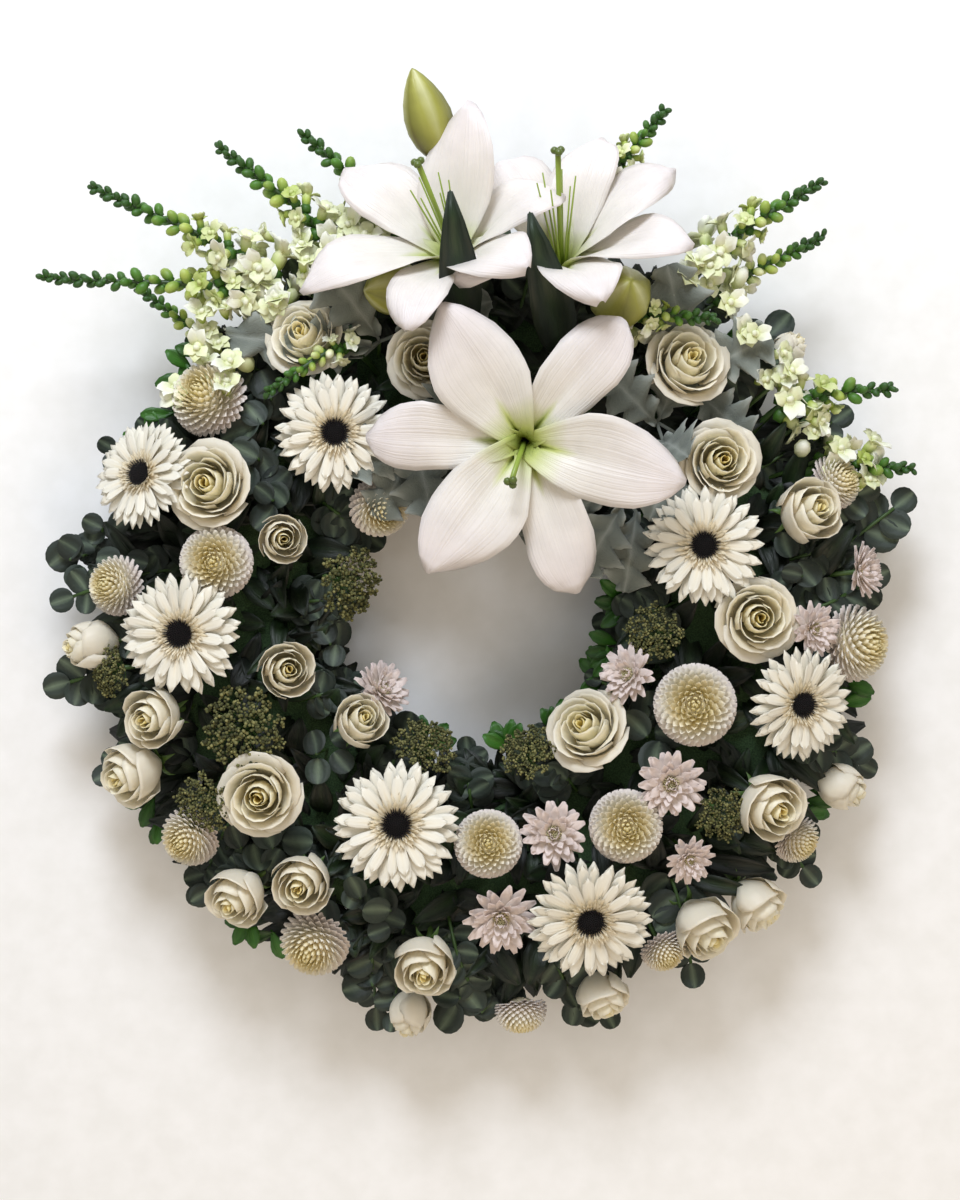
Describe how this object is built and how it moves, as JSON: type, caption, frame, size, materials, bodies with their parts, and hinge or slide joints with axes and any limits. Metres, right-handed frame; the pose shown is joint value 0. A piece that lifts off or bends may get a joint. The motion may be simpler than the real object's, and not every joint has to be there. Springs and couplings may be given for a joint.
{
  "type": "funeral wreath",
  "caption": "Open ring of white roses, lilies, gerberas, chrysanthemums and snapdragons with grey-green foliage, each on a stem pushed into a foam ring in a plastic tray.",
  "frame": {"origin": "below the middle of the whole, on the surface that the tray rests on", "axes": "+Z out of the front of the wreath, +Y towards its top, where the lilies and the longest snapdragons are"},
  "size_m": [0.7102, 0.7568, 0.203],
  "materials": {
    "lily_petal": "satin",
    "gerbera_petal": "satin",
    "snapdragon_floret": "matte",
    "rose_petal": "satin",
    "pompon_petal": "matte",
    "chrysanthemum_petal": "matte",
    "umbel_floret": "matte",
    "dusty_miller_leaf": "felted",
    "eucalyptus_leaf": "matte",
    "green_leaf": "satin",
    "floral_foam": "matte",
    "tray_plastic": "matte"
  },
  "bodies": {
    "root": {"lily_front": "lily_petal", "lily_left": "lily_petal", "lily_right": "lily_petal", "gerbera_1": "gerbera_petal", "gerbera_2": "gerbera_petal", "gerbera_3": "gerbera_petal", "gerbera_4": "gerbera_petal", "gerbera_5": "gerbera_petal", "gerbera_6": "gerbera_petal", "gerbera_7": "gerbera_petal", "snapdragon_1": "snapdragon_floret", "snapdragon_2": "snapdragon_floret", "snapdragon_3": "snapdragon_floret", "snapdragon_4": "snapdragon_floret", "snapdragon_5": "snapdragon_floret", "snapdragon_6": "snapdragon_floret", "snapdragon_7": "snapdragon_floret", "snapdragon_8": "snapdragon_floret", "rose_01": "rose_petal", "rose_02": "rose_petal", "rose_03": "rose_petal", "rose_04": "rose_petal", "rose_05": "rose_petal", "rose_06": "rose_petal", "rose_07": "rose_petal", "rose_08": "rose_petal", "rose_09": "rose_petal", "rose_10": "rose_petal", "rose_11": "rose_petal", "rose_12": "rose_petal", "rose_13": "rose_petal", "rose_14": "rose_petal", "rose_15": "rose_petal", "rose_16": "rose_petal", "rose_17": "rose_petal", "pompon_1": "pompon_petal", "pompon_2": "pompon_petal", "pompon_3": "pompon_petal", "pompon_4": "pompon_petal", "pompon_5": "pompon_petal", "pompon_6": "pompon_petal", "pompon_7": "pompon_petal", "pompon_8": "pompon_petal", "pompon_9": "pompon_petal", "spray_chrysanthemum_1": "chrysanthemum_petal", "spray_chrysanthemum_2": "chrysanthemum_petal", "spray_chrysanthemum_3": "chrysanthemum_petal", "spray_chrysanthemum_4": "chrysanthemum_petal", "umbel_1": "umbel_floret", "umbel_2": "umbel_floret", "umbel_3": "umbel_floret", "umbel_4": "umbel_floret", "dusty_miller_left": "dusty_miller_leaf", "dusty_miller_right": "dusty_miller_leaf", "eucalyptus_1": "eucalyptus_leaf", "eucalyptus_2": "eucalyptus_leaf", "leaf_collar_outer": "green_leaf", "leaf_collar_inner": "green_leaf", "foam_ring": "floral_foam", "ring_tray": "tray_plastic"}
  },
  "joints": []
}
